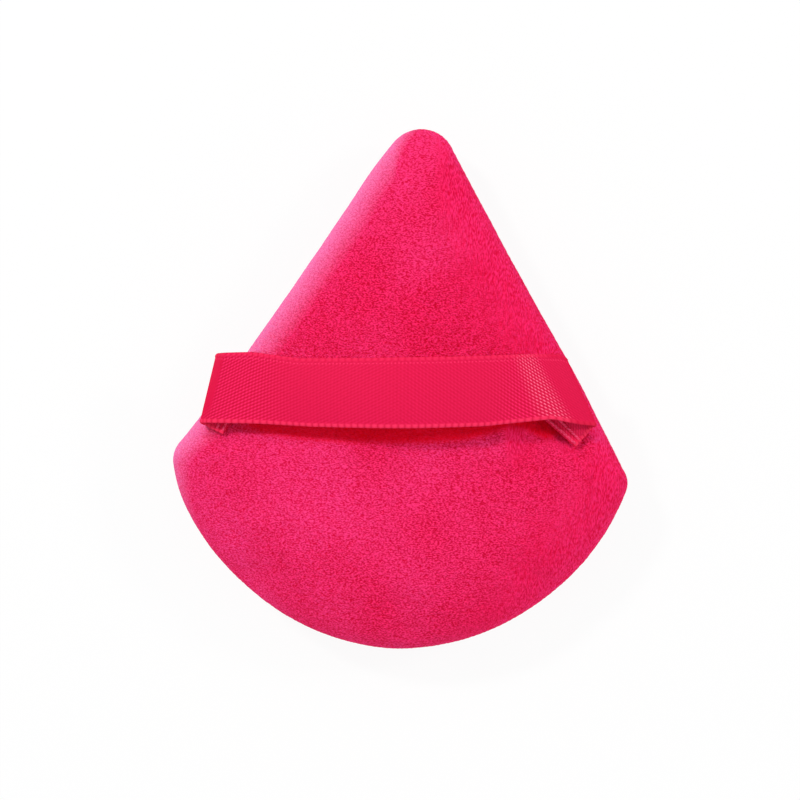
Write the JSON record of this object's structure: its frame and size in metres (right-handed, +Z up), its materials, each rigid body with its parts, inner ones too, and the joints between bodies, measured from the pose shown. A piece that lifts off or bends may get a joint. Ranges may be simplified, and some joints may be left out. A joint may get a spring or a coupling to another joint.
{
  "type": "powder puff",
  "caption": "Padded velour powder puff shaped as a rounded triangle, with a flat powder face and a ribbon finger strap sewn across its domed back.",
  "frame": {"origin": "on the flat powder face, under the middle of the puff's length and width", "axes": "+X across the puff, close to the strap's direction; +Y towards the rounded tip; +Z up out of the strap side"},
  "size_m": [0.07, 0.0799, 0.0244],
  "materials": {
    "velour": "matte",
    "foam": "matte",
    "ribbon": "satin",
    "thread": "satin"
  },
  "bodies": {
    "face": {"face_panel": "velour", "foam_core": "foam"},
    "back": {"back_panel": "velour", "edge_seam": "thread", "closing_stitches": "thread", "strap_end_left": "ribbon", "strap_end_right": "ribbon", "strap_tack_left": "thread", "strap_tack_right": "thread"},
    "strap": {"finger_strap": "ribbon"}
  },
  "joints": [
    {"name": "pad_press", "type": "slide", "parent": "face", "child": "back", "axis": [0, 0, -1], "range_m": [0, 0.005], "stiffness_N_per_m": 1200, "deforming": ["foam_core", "face_panel"]},
    {"name": "strap_swing", "type": "hinge", "parent": "back", "child": "strap", "pos_m": [-0.0016, -0.00328, 0.0155], "axis": [0.9996, 0.022, 0.0168], "range_deg": [-34, 45], "stiffness_Nm_per_rad": 0.0003, "deforming": ["strap_end_left", "strap_end_right"]}
  ]
}
